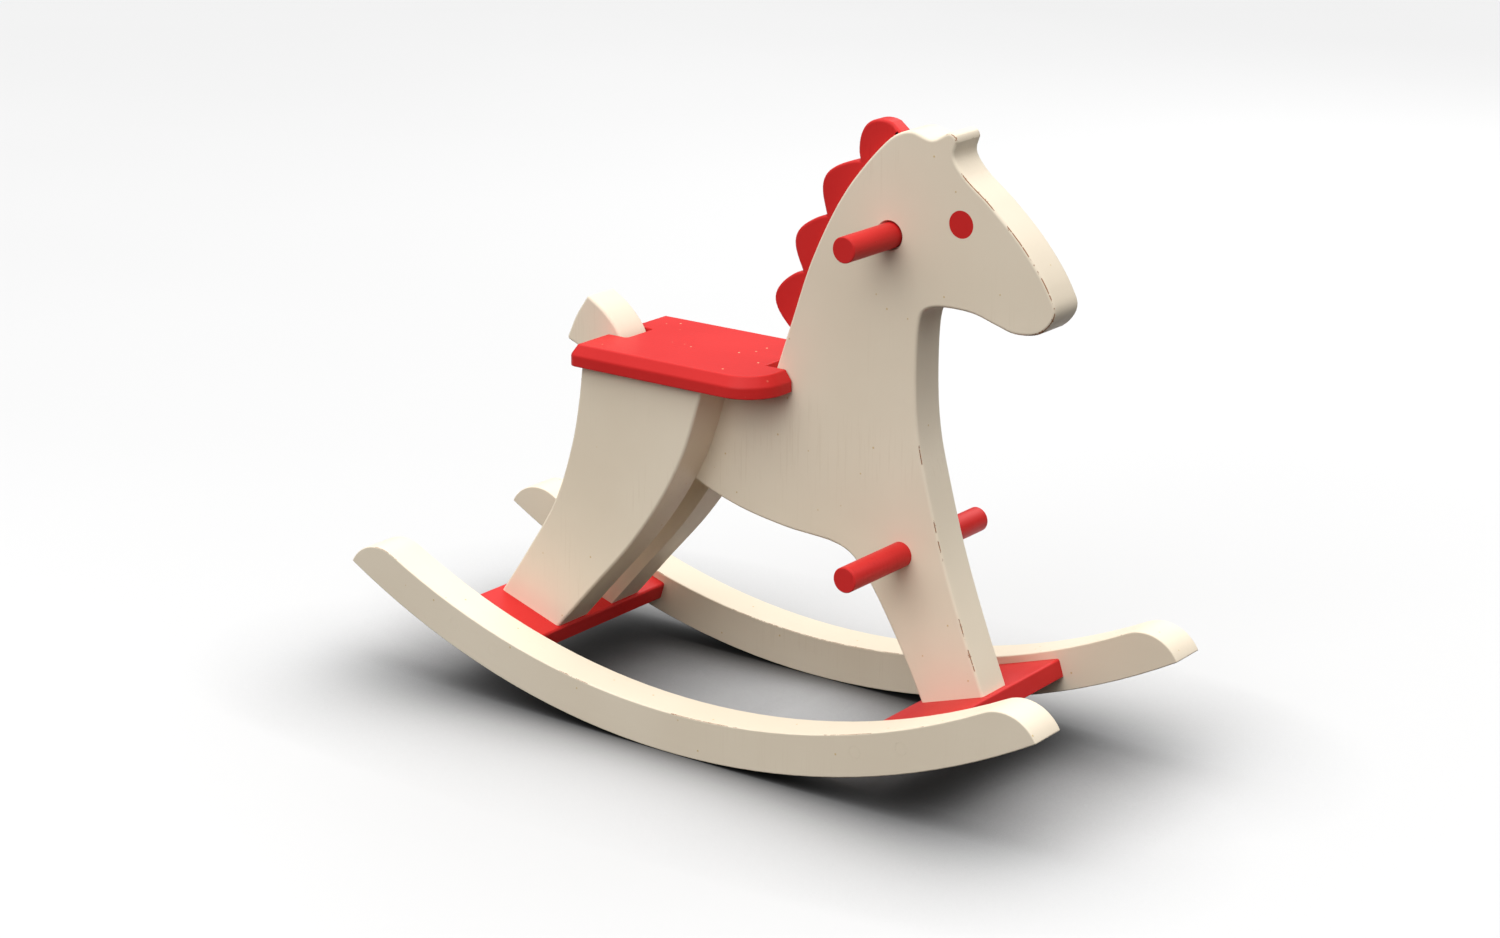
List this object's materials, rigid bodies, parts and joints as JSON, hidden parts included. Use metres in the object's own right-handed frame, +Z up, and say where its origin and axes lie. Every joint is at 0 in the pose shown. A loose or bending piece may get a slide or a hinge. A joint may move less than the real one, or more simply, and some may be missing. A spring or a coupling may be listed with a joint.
{
  "type": "rocking horse",
  "caption": "Painted wooden plank rocking horse with a flat seat, scalloped mane, handle and foot rods, standing on crossbars between curved runners.",
  "frame": {"origin": "on the floor, midway along the runners and midway between them", "axes": "+X the way the horse faces, +Y its left side, +Z up"},
  "size_m": [0.8, 0.287, 0.597],
  "materials": {
    "cream_paint": "satin paint",
    "red_paint": "satin paint",
    "beech": "bare",
    "screw_steel": "zinc plated"
  },
  "bodies": {
    "root": {"body_panel": "cream_paint", "rear_leg_right": "cream_paint", "rear_leg_left": "cream_paint", "seat_board": "red_paint", "mane_board": "red_paint", "handle_rod": "red_paint", "foot_rod": "red_paint", "eye_dowel": "red_paint", "runner_right": "cream_paint", "runner_left": "cream_paint", "front_crossbar": "red_paint", "rear_crossbar": "red_paint", "mane_dowels": "beech", "seat_panel_dowels": "beech", "seat_leg_dowels": "beech", "leg_dowels": "beech", "front_bar_screws": "screw_steel", "rear_bar_screws": "screw_steel", "front_bar_plugs": "cream_paint", "rear_bar_plugs": "cream_paint", "front_foot_screws": "screw_steel", "rear_foot_screws": "screw_steel"}
  },
  "joints": []
}
